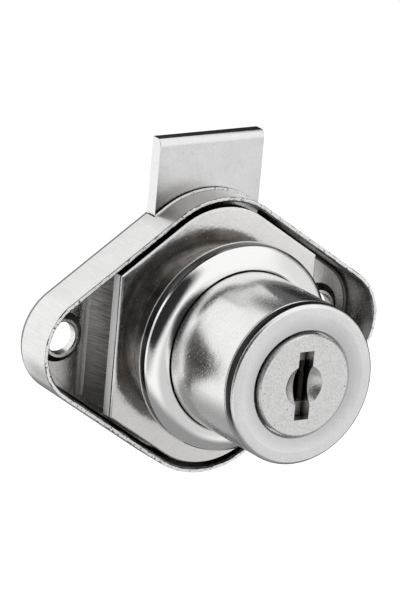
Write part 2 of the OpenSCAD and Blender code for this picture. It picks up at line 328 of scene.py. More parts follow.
# paints shade into a finish: takes it to another tone along one direction, such as deep in the keyway, or towards the
# barrel's axis
def addPaintedShade(tree, place, colour, paintedShade):
    if "along" in paintedShade:
        way = [part / mm for part in paintedShade["along"]]
        along = addNode(tree, "ShaderNodeVectorMath", "DOT_PRODUCT", {1: way})
    else:
        flat = addNode(tree, "ShaderNodeVectorMath", "MULTIPLY", {1: (1 / mm, 0, 1 / mm)})
        join(tree, (place, flat.inputs[0]))
        place = flat.outputs[0]
        along = addNode(tree, "ShaderNodeVectorMath", "LENGTH")
    reach = addNode(tree, "ShaderNodeMapRange", values={"From Min": paintedShade["from"], "From Max": paintedShade["to"]})
    reach.interpolation_type = "SMOOTHSTEP"
    join(tree, (place, along.inputs[0]), (along.outputs["Value"], reach.inputs["Value"]))
    return mixTone(tree, reach.outputs[0], colour, paintedShade["tone"])


# one metal finish: two tones mixed by cloud, lines and grain, roughness with them, waves and fine relief
def metalFinish(name, look):
    mat = bpy.data.materials.new(name)
    mat.use_nodes = True
    tree = mat.node_tree
    tree.nodes.clear()
    out = addNode(tree, "ShaderNodeOutputMaterial")
    shader = addNode(tree, "ShaderNodeBsdfPrincipled", values={"Metallic": look["metal"]})
    place = addNode(tree, "ShaderNodeTexCoord").outputs["Object"]
    turned = addNode(tree, "ShaderNodeMapping", values={"Rotation": [math.radians(a) for a in look["turn"]]})
    lines = addNode(tree, "ShaderNodeGroup", group=drawnLines, values={
        "Stretch": look["stretch"], "Contrast": look["lineContrast"]})
    grain = addNode(tree, "ShaderNodeGroup", group=platingGrain, values={
        "Grain Scale": look["grainScale"], "Cloud Scale": look["cloudScale"], "Speck Level": look["speckLevel"]})
    join(tree, (place, turned.inputs["Vector"]), (turned.outputs[0], lines.inputs["Vector"]),
         (place, grain.inputs["Vector"]))

    # the three shares swing the mix round its middle
    shares = [(grain.outputs["Cloud"], look["cloud"]), (lines.outputs["Lines"], look["line"]),
              (grain.outputs["Grain"], look["grain"])]
    start = marks["middle"] - marks["middle"] * sum(amount for _, amount in shares)
    mixed = None
    for source, share in shares:
        step = addNode(tree, "ShaderNodeMath", "MULTIPLY_ADD", {1: share, 2: start})
        join(tree, (source, step.inputs[0]))
        if mixed is not None:
            join(tree, (mixed, step.inputs[2]))
        mixed = step.outputs[0]
    colour = mixTone(tree, mixed, look["dark"], look["light"])
    colour = mixTone(tree, grain.outputs["Speck"], colour, look["speck"])
    # painted shade, where the finish has it
    if "paintedShade" in look:
        colour = addPaintedShade(tree, place, colour, look["paintedShade"])
    join(tree, (colour, shader.inputs["Base Color"]))

    rough = addNode(tree, "ShaderNodeMapRange", values={"To Min": look["rough"][0], "To Max": look["rough"][1]})
    pitted = addNode(tree, "ShaderNodeMath", "MULTIPLY_ADD", {1: look["pitRough"]})
    join(tree, (mixed, rough.inputs["Value"]), (grain.outputs["Speck"], pitted.inputs[0]),
         (rough.outputs[0], pitted.inputs[2]), (pitted.outputs[0], shader.inputs["Roughness"]))

    waves = addNode(tree, "ShaderNodeBump", values={"Strength": 1.0, "Distance": look["wave"] * mm})
    relief = addNode(tree, "ShaderNodeBump", values={"Strength": look["bump"], "Distance": look["bumpDepth"] * mm})
    join(tree, (grain.outputs["Cloud"], waves.inputs["Height"]), (mixed, relief.inputs["Height"]),
         (waves.outputs[0], relief.inputs["Normal"]), (relief.outputs[0], shader.inputs["Normal"]),
         (shader.outputs[0], out.inputs["Surface"]))
    return mat


# makes one of a piece's finishes; one that is like another takes over its values
def finishOf(finishes, name):
    look = finishes[name]
    base = finishes[look["like"]] if "like" in look else {}
    return metalFinish(name, {**plainLook, **base, **look})


# gives a piece its finishes, and each face the one that pick names
def paint(piece, finishes, pick):
    order = list(finishes)
    piece.data.materials.clear()
    for name in order:
        piece.data.materials.append(finishOf(finishes, name))
    for face in piece.data.polygons:
        face.material_index = order.index(pick(face))


# drawn case, its rim left rough by the trimming die
caseValues = {
    "depth": 5.8, "sheet": 0.55, "bend": 1.0, "bendSteps": 6, "wallRow": 0.55,
    "edgeRound": 0.08, "edgeLand": 0.34, "edgeBreak": 0.24, "edgeFoot": 3, "cornerCut": 0.3, "landCut": 0.5,
    # the edge's slow waves and small nicks
    "burr": 0.16, "burrReach": 5, "burrLow": 0.45, "waveScale": 1.1, "waveSeed": 3.0, "waveShare": 0.35,
    "nickScale": 5.2, "nickSeed": 9.0, "nickShare": 0.65,
    # screw holes and their collars
    "screwX": 16.5, "screwR": 1.75, "backBreak": 0.12, "frontBreak": 0.14, "holeSteps": 56,
    "collarFoot": 2.75, "footRound": 0.25, "collarTop": 2.2, "topRound": 0.14, "collarUp": 1.2,
    "collarRoot": 0.2, "skirt": 3.2, "overlap": 0.02,
    # bolt slot with its curled lip, and the pegs' holes
    "slotHalf": 6.85, "slotTop": 2.5, "slotFoot": 4, "lipUp": 0.17, "lipRun": 0.24, "lipRoot": 0.12,
    "lipLift": 0.01, "lipShort": 0.1, "lipAbove": 8,
    "pegX": 8.45, "pegUp": 4.6, "pegHole": 1.04, "pegCut": 2, "cutBack": -1, "cutFront": 3, "cutTop": 30,
    # where the finishes meet
    "edgeBand": 0.30, "edgeTilt": 0.15, "edgeFlat": 0.85, "slotBand": 0.5, "lipBand": 0.15, "lipTilt": 0.2,
    "floorBand": 0.05, "floorFlat": 0.995, "wallTilt": 0.3, "bendTilt": 0.2, "collarBand": 0.6, "coneBand": 0.1,
    "deepHalf": 12.2, "backTilt": (0.10, 0.65),
    "finishes": {
        "caseNickel": {
            "dark": (0.72, 0.715, 0.71), "light": (0.97, 0.97, 0.965), "speck": (0.52, 0.51, 0.50),
            "rough": (0.14, 0.24), "stretch": (9000, 340, 9000), "lineContrast": 2.0, "cloud": 0.5, "line": 0.6,
            "grain": 0.3, "grainScale": 9000, "cloudScale": 380, "speckLevel": 0.72, "bump": 0.3, "wave": 0.02,
            # painted shade: the outside of the case goes darker towards its top, a little to the left
            "paintedShade": {"along": (-0.25, 0, 0.97), "from": 13.7, "to": 15.6, "tone": (0.38, 0.365, 0.35)}},
        "caseInside": {
            "dark": (0.52, 0.505, 0.49), "light": (0.88, 0.865, 0.85), "speck": (0.22, 0.21, 0.20),
            "rough": (0.20, 0.32), "stretch": (3800, 600, 900), "cloud": 0.8, "grain": 0.5, "grainScale": 6500,
            "bump": 0.35, "bumpDepth": 0.012, "wave": 0.02},
        "caseTrimmed": {
            "metal": 0.4, "dark": (0.80, 0.795, 0.79), "light": (0.97, 0.97, 0.965), "speck": (0.07, 0.07, 0.07),
            "rough": (0.45, 0.60), "stretch": (2600, 2600, 2600), "lineContrast": 2.4, "cloud": 1.0, "line": 0.9,
            "grain": 0.8, "grainScale": 3600, "cloudScale": 900, "speckLevel": 0.605, "bump": 0.9, "bumpDepth": 0.03,
            "wave": 0.02},
        # painted shade: a dark tone on the back bend and on the rolled part of the trimmed edge
        "caseBend": {
            "dark": (0.12, 0.117, 0.114), "light": (0.32, 0.315, 0.31), "speck": (0.04, 0.038, 0.036),
            "rough": (0.18, 0.30), "stretch": (9000, 340, 9000), "cloud": 0.7, "grain": 0.3, "grainScale": 9000,
            "cloudScale": 380, "speckLevel": 0.70, "bump": 0.3, "wave": 0.02},
        # painted shade: inner walls, bends and collar cones, and everything behind the plate, painted nearly black
        "caseDeep": {
            "like": "caseInside", "dark": (0.05, 0.048, 0.046), "light": (0.16, 0.155, 0.15),
            "speck": (0.03, 0.03, 0.03), "rough": (0.24, 0.36), "bump": 0.3, "bumpDepth": 0.010},
        # painted shade: a darker copy of the inside finish for the inner walls out at the ears
        "caseWall": {"like": "caseInside", "dark": (0.13, 0.125, 0.12), "light": (0.36, 0.35, 0.34)}}}


# the pegs' places on one side, -1 or 1
def pegPlaces(side):
    s = caseValues
    return [(side * s["pegX"], -s["pegUp"]), (side * s["pegX"], s["pegUp"])]


# the wall's section as (inset, fwd), from the floor round the trimmed edge and back
def caseSection():
    s = caseValues
    bend, sheet, depth, soft, land = (s[k] for k in ("bend", "sheet", "depth", "edgeRound", "edgeLand"))
    quarter = [math.pi / 2 * k / s["bendSteps"] for k in range(s["bendSteps"] + 1)]
    outside = [(bend - bend * math.sin(a), bend - bend * math.cos(a)) for a in quarter]
    inner = bend - sheet
    inside = [(bend - inner * math.sin(a), bend - inner * math.cos(a)) for a in reversed(quarter)]
    cut = s["cornerCut"] * soft  # each rounded corner has one point between its ends
    edge = [(0, depth - s["edgeFoot"] * soft), (0, depth - soft), (cut, depth - cut), (soft, depth), (land, depth),
            (land + s["landCut"] * soft, depth - cut), (land + soft, depth - soft), (sheet, depth - s["edgeBreak"])]
    middle = depth * s["wallRow"]
    return [*outside, (0, middle), *edge, (sheet, middle), *inside]


# how the trimmed edge wanders at a place, in shares of the burr
def edgeWander(x, up):
    s = caseValues
    wave = noise.noise(Vector((x * s["waveScale"], up * s["waveScale"], s["waveSeed"])))
    nick = noise.noise(Vector((x * s["nickScale"], up * s["nickScale"], s["nickSeed"])))
    return s["waveShare"] * wave + s["nickShare"] * nick - s["burrLow"]


# the slot's punch left its long front edge curled up a little
def slotLip():
    s = caseValues
    low = s["slotTop"] + s["lipLift"]
    bm = bmesh.new()
    rows = []
    for root, tip in zip(diamondOutline(s["lipRoot"]), diamondOutline(-s["lipUp"])):
        if root[1] > s["lipAbove"] and abs(root[0]) < s["slotHalf"] - s["lipShort"]:
            rows.append([bm.verts.new(rowPoint(*root, low)), bm.verts.new(rowPoint(*tip, low)),
                         bm.verts.new(rowPoint(*root, low + s["lipRun"]))])
    stitch(bm, rows)
    bm.faces.new(rows[0])
    bm.faces.new(rows[-1])
    return closedShape("slotLip", bm)


def caseFinish(face):
    s = caseValues
    x, up, fwd, facing = facePlace(face)
    inward = face.normal.x * face.center.x + face.normal.z * face.center.z < 0
    inside = fwd > s["sheet"] - s["floorBand"]
    peak = math.hypot(x, up - outlineSize["peakUp"])
    nearSlot = fwd < s["slotTop"] + s["slotBand"] and abs(x) < s["slotHalf"]
    onLip = nearSlot and up > 0 and peak > outlineSize["peakR"] - s["lipBand"]
    # the flat land of the trimmed edge keeps its finish, its rolled part gets painted shade
    if fwd > s["depth"] - s["edgeBand"] and facing > s["edgeTilt"]:
        return "caseTrimmed" if facing > s["edgeFlat"] else "caseBend"
    if onLip and fwd > s["slotTop"] and facing > s["lipTilt"]:
        return "caseTrimmed"
    if inside and facing > s["floorFlat"]:
        return "caseInside"
    # inner walls get painted shade: nearly black in bends, on collar cones and behind the plate, lighter out at the
    # ears
    if inside and (inward or facing > s["wallTilt"]) and not onLip:
        across = math.hypot(abs(x) - s["screwX"], up)
        onCollar = across < s["collarFoot"] + s["collarBand"]
        inBend = facing > s["bendTilt"] and not onCollar
        onCone = onCollar and across > s["collarTop"] - s["coneBand"]
        if inBend or onCone or abs(x) < s["deepHalf"]:
            return "caseDeep"
        return "caseInside" if onCollar else "caseWall"
    # the back bend gets painted shade
    if fwd < s["bend"] and s["backTilt"][0] < -facing < s["backTilt"][1] and not inward:
        return "caseBend"
    return "caseNickel"


def casePan():
    s = caseValues
    bm = bmesh.new()
    rows = []
    reach = s["burrReach"] * s["edgeRound"]
    for inset, fwd in caseSection():
        burr = s["burr"] * max(0.0, (fwd - s["depth"] + reach) / reach)
        rows.append([bm.verts.new(rowPoint(x, up, fwd + burr * edgeWander(x, up)))
                     for x, up in diamondOutline(inset)])
    stitch(bm, rows)
    bm.faces.new(rows[0])
    bm.faces.new(rows[-1])
    pan = closedShape("caseShell", bm)
    collars, ways = [], []
    for side in (-1, 1):
        at = (side * s["screwX"], 0)
        collars.append(lathe("collar", [
            (0, s["collarRoot"]), (s["skirt"], s["collarRoot"]), (s["skirt"], s["sheet"] - s["overlap"]),
            (s["collarFoot"], s["sheet"] + s["overlap"], s["footRound"]),
            (s["collarTop"], s["collarUp"], s["topRound"]), (0, s["collarUp"])], s["holeSteps"], at))
        back, front = s["screwR"] + s["backBreak"], s["screwR"] + s["frontBreak"]
        ways.append(lathe("screwWay", [
            (0, s["cutBack"]), (back, s["cutBack"]), (back, 0), (s["screwR"], s["backBreak"]),
            (s["screwR"], s["collarUp"] - s["backBreak"]), (front, s["collarUp"] + s["overlap"]),
            (front, s["cutFront"]), (0, s["cutFront"])], s["holeSteps"], at))
        ways += [rod("pegWay", s["pegHole"], s["cutBack"], s["pegCut"], peg) for peg in pegPlaces(side)]
    combine(pan, collars, "UNION")
    ways.append(block("boltWay", -s["slotHalf"], s["slotHalf"], s["slotFoot"], s["cutTop"],
                      s["sheet"], s["slotTop"]))
    combine(pan, ways, "DIFFERENCE")
    combine(pan, [slotLip()], "UNION")
    paint(pan, s["finishes"], caseFinish)
    return pan


caseShell = casePan()
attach(caseShell, "case")
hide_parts("lock_case")
print("case shell made")


# thin sheet on the case floor, sheared edges, brushed on the slant
guideValues = {
    "low": 0.555, "high": 1.25, "inset": 1.6, "half": 13.35, "channelHalf": 6.85, "channelFoot": -9.25,
    "edge": 0.1, "edgeSteps": 3, "cutFront": 3, "cutTop": 30,
    "finishes": {
        "guideSteel": {
            "metal": 0.3, "dark": (0.34, 0.33, 0.32), "light": (0.99, 0.98, 0.97), "speck": (0.30, 0.29, 0.28),
            "rough": (0.36, 0.50), "stretch": (420, 7000, 7000), "turn": (0, -21, 0), "lineContrast": 3.0,
            "cloud": 0.4, "line": 0.9, "grain": 0.3, "grainScale": 9000, "cloudScale": 500, "speckLevel": 0.74,
            "bump": 0.5, "bumpDepth": 0.012, "wave": 0.01,
            # painted shade: darker towards the sheet's left end and a little towards its bottom
            "paintedShade": {"along": (0.98, 0, 0.20), "from": -10.8, "to": -14.6, "tone": (0.16, 0.15, 0.14)}},
        "guideSheared": {
            "metal": 0.0, "dark": (0.78, 0.775, 0.77), "light": (0.98, 0.98, 0.975), "speck": (0.30, 0.29, 0.28),
            "rough": (0.46, 0.60), "stretch": (2600, 2600, 900), "lineContrast": 2.0, "cloud": 0.6, "line": 0.8,
            "grain": 0.8, "grainScale": 3600, "cloudScale": 600, "bump": 0.8, "bumpDepth": 0.02, "wave": 0.01}}}


def guideFinish(face):
    return "guideSheared" if abs(face.normal.x) > drawing["sideways"] else "guideSteel"


def guidePlate():
    s = guideValues
    sheet = prism("guideSheet", clipSides(diamondOutline(s["inset"]), s["half"]), s["low"], s["high"])
    cuts = [block("channel", -s["channelHalf"], s["channelHalf"], s["channelFoot"], s["cutTop"], 0, s["cutFront"])]
    for side in (-1, 1):
        cuts += [rod("pegWay", caseValues["pegHole"], 0, caseValues["pegCut"], peg) for peg in pegPlaces(side)]
    combine(sheet, cuts, "DIFFERENCE")
    softenEdges(sheet, s["edge"], s["edgeSteps"])
    paint(sheet, s["finishes"], guideFinish)
    return sheet


guideSheet = guidePlate()
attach(guideSheet, "case")
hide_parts("bolt_guide")
print("guide sheet made")


# plated casting: polished plate, legs and pegs behind it, barrel with its lip
bodyValues = {
    "inset": 1.1, "half": 12.5, "plateBack": 4.3, "plateFront": 5.8, "plateEdge": 0.36, "edgeSteps": 3,
    "edgeProfile": 0.6, "legIn": 6.85, "legOut": 10.05, "legUp": 7.0, "legBack": 1.25, "legRoot": 0.4,
    "pegR": 1.0, "pegBack": 0.02, "pegFront": 2,
    "root": 4.6, "waist": 8.55, "waistEnd": 10.9, "waistRun": 0.1, "waistStep": 0.08, "barrel": 8.95,
    "barrelSteps": 192, "neck": 8.84, "neckAt": 21.65, "neckRun": 0.12, "neckRound": 0.1, "neckFoot": 0.08,
    "lip": 9.0, "face": 23.0, "lipRound": 0.58, "lipSteps": 10, "crest": 24.0, "dishFrom": 7.6, "dishRound": 0.6,
    "dishDrop": 0.15, "bore": 5.25, "boreSteps": 144, "headFloor": 21.9, "mouth": 5.8, "mouthBevel": 0.22,
    "overlap": 0.01, "grooveHalf": 2.45, "grooveR": 6.3, "grooveBack": 4.0, "grooveTop": 21.8,
    "cutBack": 3, "cutFront": 25,
    # where the finishes meet
    "faceBand": 0.3, "faceTilt": 0.6, "neckBand": 0.02, "neckDeep": 0.3, "barrelBand": 0.02, "barrelOver": 0.1,
    "sideTilt": 0.3, "sideBand": 0.01, "endFace": 0.9, "bevelTilt": (0.4, 0.97), "bevelBand": 0.3,
    "finishes": {
        "plateChrome": {
            "dark": (0.74, 0.73, 0.72), "light": (0.96, 0.95, 0.94), "speck": (0.74, 0.72, 0.70),
            "rough": (0.13, 0.23), "stretch": (500, 500, 4200), "turn": (0, 30, 0), "lineContrast": 1.6,
            "cloud": 0.6, "line": 0.4, "grain": 0.5, "cloudScale": 520, "speckLevel": 0.645, "pitRough": 0.28,
            "bump": 0.3, "bumpDepth": 0.008, "wave": 0.035},
        "barrelChrome": {
            "dark": (0.76, 0.755, 0.75), "light": (0.985, 0.98, 0.975), "speck": (0.98, 0.975, 0.97),
            "rough": (0.14, 0.22), "stretch": (260, 8000, 260), "cloud": 0.5, "grain": 1.2, "grainScale": 4600,
            "speckLevel": 0.625, "pitRough": 0.15, "bump": 0.35, "wave": 0.02},
        "lipSatin": {
            "dark": (0.84, 0.84, 0.84), "light": (0.97, 0.97, 0.97), "speck": (0.60, 0.59, 0.58),
            "rough": (0.22, 0.32), "stretch": (900, 900, 900), "lineContrast": 1.2, "cloud": 1.5, "line": 0.2,
            "grain": 1.0, "grainScale": 4400, "speckLevel": 0.70, "bump": 0.4, "wave": 0.03,
            # painted shade: the lip's face goes darker towards the plug's mouth
            "paintedShade": {"from": 7.9, "to": 5.8, "tone": (0.70, 0.70, 0.71)}},
        # painted light: a near-white matte tone on the plate's end walls and on the upper half of its front bevel
        "plateSide": {
            "metal": 0.0, "dark": (0.90, 0.90, 0.895), "light": (0.98, 0.98, 0.975), "speck": (0.48, 0.47, 0.46),
            "rough": (0.52, 0.62), "stretch": (3000, 600, 3000), "lineContrast": 1.6, "cloud": 0.4, "line": 0.4,
            "grain": 0.5, "cloudScale": 600, "speckLevel": 0.68, "bump": 0.5, "bumpDepth": 0.012, "wave": 0.01},
        # painted shade: a darker tone on the groove behind the lip and on the plate's sloped walls, nearly black
        # towards the top and a little to the left
        "neckBare": {
            "dark": (0.50, 0.495, 0.49), "light": (0.78, 0.775, 0.77), "speck": (0.40, 0.39, 0.38),
            "rough": (0.20, 0.34), "stretch": (260, 6000, 260), "lineContrast": 1.6, "cloud": 0.6, "cloudScale": 500,
            "speckLevel": 0.68, "bump": 0.4, "wave": 0.01,
            "paintedShade": {"along": (-0.35, 0, 0.94), "from": -2.5, "to": 1.0, "tone": (0.03, 0.029, 0.028)}}}}


# the lip's edge starts with a crest over the neck and rolls round into the face
def lipRoll():
    s = bodyValues
    turn = [math.radians(s["crest"] + (90 - s["crest"]) * k / s["lipSteps"]) for k in range(s["lipSteps"] + 1)]
    return [(s["lip"] - s["lipRound"] * (1 - math.cos(a)), s["face"] - s["lipRound"] * (1 - math.sin(a)))
            for a in turn]


# bevels only the edges round the plate's front
def softenFront(plate):
    s = bodyValues
    bm = bmesh.new()
    bm.from_mesh(plate.data)
    edges = [e for e in bm.edges
             if all(abs(-v.co.y / mm - s["plateFront"]) < drawing["onPlane"] for v in e.verts)]
    bmesh.ops.bevel(bm, geom=edges, offset=s["plateEdge"] * mm, segments=s["edgeSteps"],
                    profile=s["edgeProfile"], affect="EDGES")
    bm.to_mesh(plate.data)
    bm.free()
    shadeByAngle(plate.data)


def bodyFinish(face):
    s = bodyValues
    x, up, fwd, facing = facePlace(face)
    reach = math.hypot(x, up)
    if fwd > s["face"] - s["faceBand"] and facing > s["faceTilt"]:
        return "lipSatin"
    # the groove behind the lip gets painted shade
    if fwd > s["neckAt"] - s["neckBand"] and facing < s["faceTilt"] and reach > s["neck"] - s["neckDeep"]:
        return "neckBare"
    if fwd > s["plateFront"] + s["barrelBand"] and reach < s["lip"] + s["barrelOver"]:
        return "barrelChrome"
    # the plate's end walls get the painted light and its sloped walls painted shade
    if facing < s["sideTilt"] and s["plateBack"] < fwd < s["plateFront"] - s["plateEdge"] + s["sideBand"]:
        return "plateSide" if abs(face.normal.x) > s["endFace"] else "neckBare"
    # the upper half of the front bevel gets the painted highlight
    onBevel = s["bevelTilt"][0] < facing < s["bevelTilt"][1]
    if onBevel and s["plateBack"] + s["bevelBand"] < fwd < s["plateFront"] and up > 0:
        return "plateSide"
    return "plateChrome"


def castingBody():
    s = bodyValues
    plate = prism("castBody", clipSides(diamondOutline(s["inset"]), s["half"]), s["plateBack"], s["plateFront"])
    softenFront(plate)
    dish = s["face"] - s["dishDrop"]
    extra = [lathe("barrel", [
        (0, s["root"]), (s["waist"], s["root"]), (s["waist"], s["waistEnd"] - s["waistRun"]),
        (s["barrel"] - s["waistStep"], s["waistEnd"]), (s["barrel"], s["waistEnd"] + s["waistRun"]),
        (s["barrel"], s["neckAt"], s["neckRound"]), (s["neck"], s["neckAt"] + s["neckRun"], s["neckFoot"]),
        *lipRoll(), (s["dishFrom"], s["face"], s["dishRound"]), (s["mouth"], dish), (0, dish)], s["barrelSteps"])]
    for side in (-1, 1):
        left, right = sorted((side * s["legIn"], side * s["legOut"]))
        extra.append(block("leg", left, right, -s["legUp"], s["legUp"], s["legBack"], s["plateBack"] + s["legRoot"]))
        extra += [rod("peg", s["pegR"], s["pegBack"], s["pegFront"], peg) for peg in pegPlaces(side)]
    combine(plate, extra, "UNION")
    wide = s["mouth"] + s["mouthBevel"]
    bore = lathe("bore", [
        (0, s["cutBack"]), (s["bore"], s["cutBack"]), (s["bore"], s["headFloor"]), (s["mouth"], s["headFloor"]),
        (s["mouth"], dish - s["mouthBevel"]), (wide, dish + s["overlap"]), (wide, s["cutFront"]),
        (0, s["cutFront"])], s["boreSteps"])
    grooves = block("grooves", -s["grooveHalf"], s["grooveHalf"], -s["grooveR"], s["grooveR"],
                    s["grooveBack"], s["grooveTop"])
    combine(plate, [bore, grooves], "DIFFERENCE")
    paint(plate, s["finishes"], bodyFinish)
    return plate


castBody = castingBody()
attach(castBody, "case")
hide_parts("lock_body")
print("casting made")


# pegs struck over the back of the case: one head, set at each peg by a node tree
headValues = {
    "r": 1.6, "h": 0.6, "steps": 40, "cupR": 0.75, "cupDeep": 0.28, "cupMiddle": (0.5, 0.85), "cupRound": 0.08,
    "faceIn": 0.25, "faceDrop": 0.02, "faceRound": 0.12, "sideAt": 0.45, "sideRound": 0.2, "footIn": 0.1,
    "finishes": {
        "struckCasting": {
            "dark": (0.58, 0.57, 0.56), "light": (0.80, 0.79, 0.78), "speck": (0.45, 0.43, 0.41),
            "rough": (0.22, 0.38), "stretch": (900, 900, 900), "lineContrast": 1.4, "cloud": 0.6, "line": 0.3,
            "grain": 0.6, "grainScale": 4200, "cloudScale": 600, "bump": 0.6, "bumpDepth": 0.02, "wave": 0.03}}}


def repeatTree(name):
    tree = bpy.data.node_groups.new(name, "GeometryNodeTree")
    tree.interface.new_socket("Geometry", in_out="INPUT", socket_type="NodeSocketGeometry")
    shape = tree.interface.new_socket("Shape", in_out="INPUT", socket_type="NodeSocketObject")
    finish = tree.interface.new_socket("Finish", in_out="INPUT", socket_type="NodeSocketMaterial")
    tree.interface.new_socket("Geometry", in_out="OUTPUT", socket_type="NodeSocketGeometry")
    start = addNode(tree, "NodeGroupInput")
    end = addNode(tree, "NodeGroupOutput")
    source = addNode(tree, "GeometryNodeObjectInfo")
    place = addNode(tree, "GeometryNodeInstanceOnPoints")
    real = addNode(tree, "GeometryNodeRealizeInstances")
    coat = addNode(tree, "GeometryNodeSetMaterial")
    join(tree, (start.outputs["Shape"], source.inputs["Object"]), (start.outputs["Geometry"], place.inputs["Points"]),
         (source.outputs["Geometry"], place.inputs["Instance"]), (place.outputs[0], real.inputs[0]),
         (real.outputs[0], coat.inputs["Geometry"]), (start.outputs["Finish"], coat.inputs["Material"]),
         (coat.outputs[0], end.inputs[0]))
    return tree, shape.identifier, finish.identifier


def struckHeads():
    s = headValues
    cupIn, cupShare = s["cupMiddle"]
    head = lathe("pegHead", [
        (0, -s["h"] + s["cupDeep"]), (s["cupR"] * cupIn, -s["h"] + s["cupDeep"] * cupShare),
        (s["cupR"], -s["h"], s["cupRound"]), (s["r"] - s["faceIn"], -s["h"] + s["faceDrop"], s["faceRound"]),
        (s["r"], -s["h"] * s["sideAt"], s["sideRound"]), (s["r"] - s["footIn"], 0), (0, 0)], s["steps"])
    bm = bmesh.new()
    for side in (-1, 1):
        for peg in pegPlaces(side):
            bm.verts.new(rowPoint(*peg, 0))
    heads = meshObject("struckPegHeads", bm)
    tree, shapeId, finishId = repeatTree("pegHeadsAtPegs")
    step = heads.modifiers.new("atPegs", "NODES")
    step.node_group = tree
    step[shapeId] = head
    step[finishId] = finishOf(s["finishes"], "struckCasting")
    settle(heads)
    bpy.data.objects.remove(head)
    return heads


struckPegHeads = struckHeads()
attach(struckPegHeads, "case")
print("peg heads made")


# loose dress ring
ringValues = {
    "bore": 9.07, "boreRound": 0.05, "boreDrop": 0.1, "tube": 10.15, "tubeRound": 0.03, "back": 5.82,
    "flangeBack": 9.1, "footRound": 0.25, "flange": 11.58, "bead": 0.1, "beadWide": 0.16, "beadRound": (0.04, 0.05),
    "sideEnd": 10.12, "sideRound": 0.04, "edge": 11.48, "edgeAt": 10.32, "edgeRound": 0.06, "inner": 9.2,
    "outerSlope": 40.0, "innerSlope": 4.0, "faceSteps": 16, "steps": 192, "band": 0.01, "sideTilt": 0.3,
    "finishes": {
        "ringChrome": {
            "dark": (0.90, 0.895, 0.89), "light": (0.985, 0.985, 0.98), "speck": (0.60, 0.59, 0.58),
            "rough": (0.09, 0.15), "stretch": (420, 7000, 420), "lineContrast": 1.4, "cloud": 0.5, "line": 0.3,
            "grainScale": 6000, "speckLevel": 0.70, "bump": 0.3, "bumpDepth": 0.008, "wave": 0.015},
        # painted shade: the ring's back and tube, painted dark brown
        "ringBare": {
            "dark": (0.06, 0.053, 0.048), "light": (0.46, 0.42, 0.385), "speck": (0.06, 0.055, 0.05),
            "rough": (0.26, 0.40), "stretch": (500, 4200, 500), "cloud": 1.5, "line": 0.4, "grain": 0.6, "bump": 0.4,
            "wave": 0.02},
        # painted shade: the ring's side wall, painted nearly black
        "ringSide": {
            "dark": (0.05, 0.048, 0.045), "light": (0.16, 0.155, 0.15), "speck": (0.03, 0.03, 0.03),
            "rough": (0.18, 0.30), "stretch": (500, 4200, 500), "lineContrast": 1.4, "cloud": 0.6, "cloudScale": 700,
            "speckLevel": 0.68, "bump": 0.3, "bumpDepth": 0.008, "wave": 0.01}}}


# the dress ring's face bulges: steep outside, nearly flat at the barrel
def bulgedFace():
    s = ringValues
    slopes = [math.radians(s["outerSlope"] + (s["innerSlope"] - s["outerSlope"]) * (k + 0.5) / s["faceSteps"])
              for k in range(s["faceSteps"])]
    step = (s["edge"] - s["inner"]) / sum(math.cos(a) for a in slopes)
    r, fwd, points = s["edge"], s["edgeAt"], []
    for a in slopes:
        r, fwd = r - step * math.cos(a), fwd + step * math.sin(a)
        points.append((r, fwd))
    return points


# painted shade: only the front and the bead keep the bright chrome; the side, the back and the tube are painted dark
def ringFinish(face):
    s = ringValues
    fwd = -face.center.y / mm
    side = s["flangeBack"] + s["beadWide"]
    if side - s["band"] < fwd < s["sideEnd"] - s["band"] and abs(face.normal.y) < s["sideTilt"]:
        return "ringSide"
    return "ringBare" if fwd < s["flangeBack"] + s["band"] else "ringChrome"


def dressRing():
    s = ringValues
    front = bulgedFace()
    side, bead = s["flangeBack"] + s["beadWide"], s["flange"] + s["bead"]
    ring = lathe("dressRing", [
        (s["bore"], s["back"], s["boreRound"]), (s["tube"], s["back"], s["tubeRound"]),
        (s["tube"], s["flangeBack"], s["footRound"]), (bead, s["flangeBack"], s["beadRound"][0]),
        (bead, side, s["beadRound"][1]), (s["flange"], side), (s["flange"], s["sideEnd"], s["sideRound"]),
        (s["edge"], s["edgeAt"], s["edgeRound"]), *front, (s["bore"], front[-1][1] - s["boreDrop"])], s["steps"])
    paint(ring, s["finishes"], ringFinish)
    return ring


trimRing = dressRing()
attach(trimRing, "ring")
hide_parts("trim_ring")
print("trim ring made")


# sliding bolt, sawn and lightly ground
boltValues = {
    "half": 6.65, "back": 0.6, "front": 2.25, "bottom": -3.55, "top": 21.6, "bevel": 0.4, "roll": 0.5,
    "rollDrop": 0.22, "rollSteps": 6, "yokeHalf": 4.17, "yokeHigh": 2.0, "yokeUp": 2.75, "cutBack": -1, "cutFront": 4,
    "edge": 0.06, "edgeSteps": 2, "shadeAngle": 16, "topFace": 0.8,
    "finishes": {
        "boltSteel": {
            "dark": (0.76, 0.76, 0.76), "light": (0.97, 0.97, 0.97), "speck": (0.46, 0.45, 0.44),
            "rough": (0.20, 0.32), "stretch": (1800, 1800, 700), "lineContrast": 1.4, "cloud": 0.6, "line": 0.4,
            "grain": 0.6, "grainScale": 4600, "cloudScale": 360, "speckLevel": 0.68, "bump": 0.4, "wave": 0.03,
            # painted shade: the front face goes darker towards its lower left, near the case
            "paintedShade": {"along": (-0.6, 0, -0.8), "from": -12.0, "to": -4.7, "tone": (0.16, 0.148, 0.138)}},
        "boltSawn": {
            "dark": (0.82, 0.82, 0.82), "light": (0.97, 0.97, 0.97), "speck": (0.55, 0.54, 0.53),
            "rough": (0.24, 0.36), "stretch": (900, 5200, 900), "lineContrast": 1.6, "cloud": 0.5, "line": 0.6,
            "grain": 0.6, "grainScale": 4600, "cloudScale": 500, "speckLevel": 0.68, "bump": 0.5, "bumpDepth": 0.012,
            "wave": 0.01},
        # painted shade: a dark copy of the sawn finish for the top face
        "boltTop": {"like": "boltSawn", "dark": (0.13, 0.128, 0.125), "light": (0.32, 0.315, 0.31)}}}


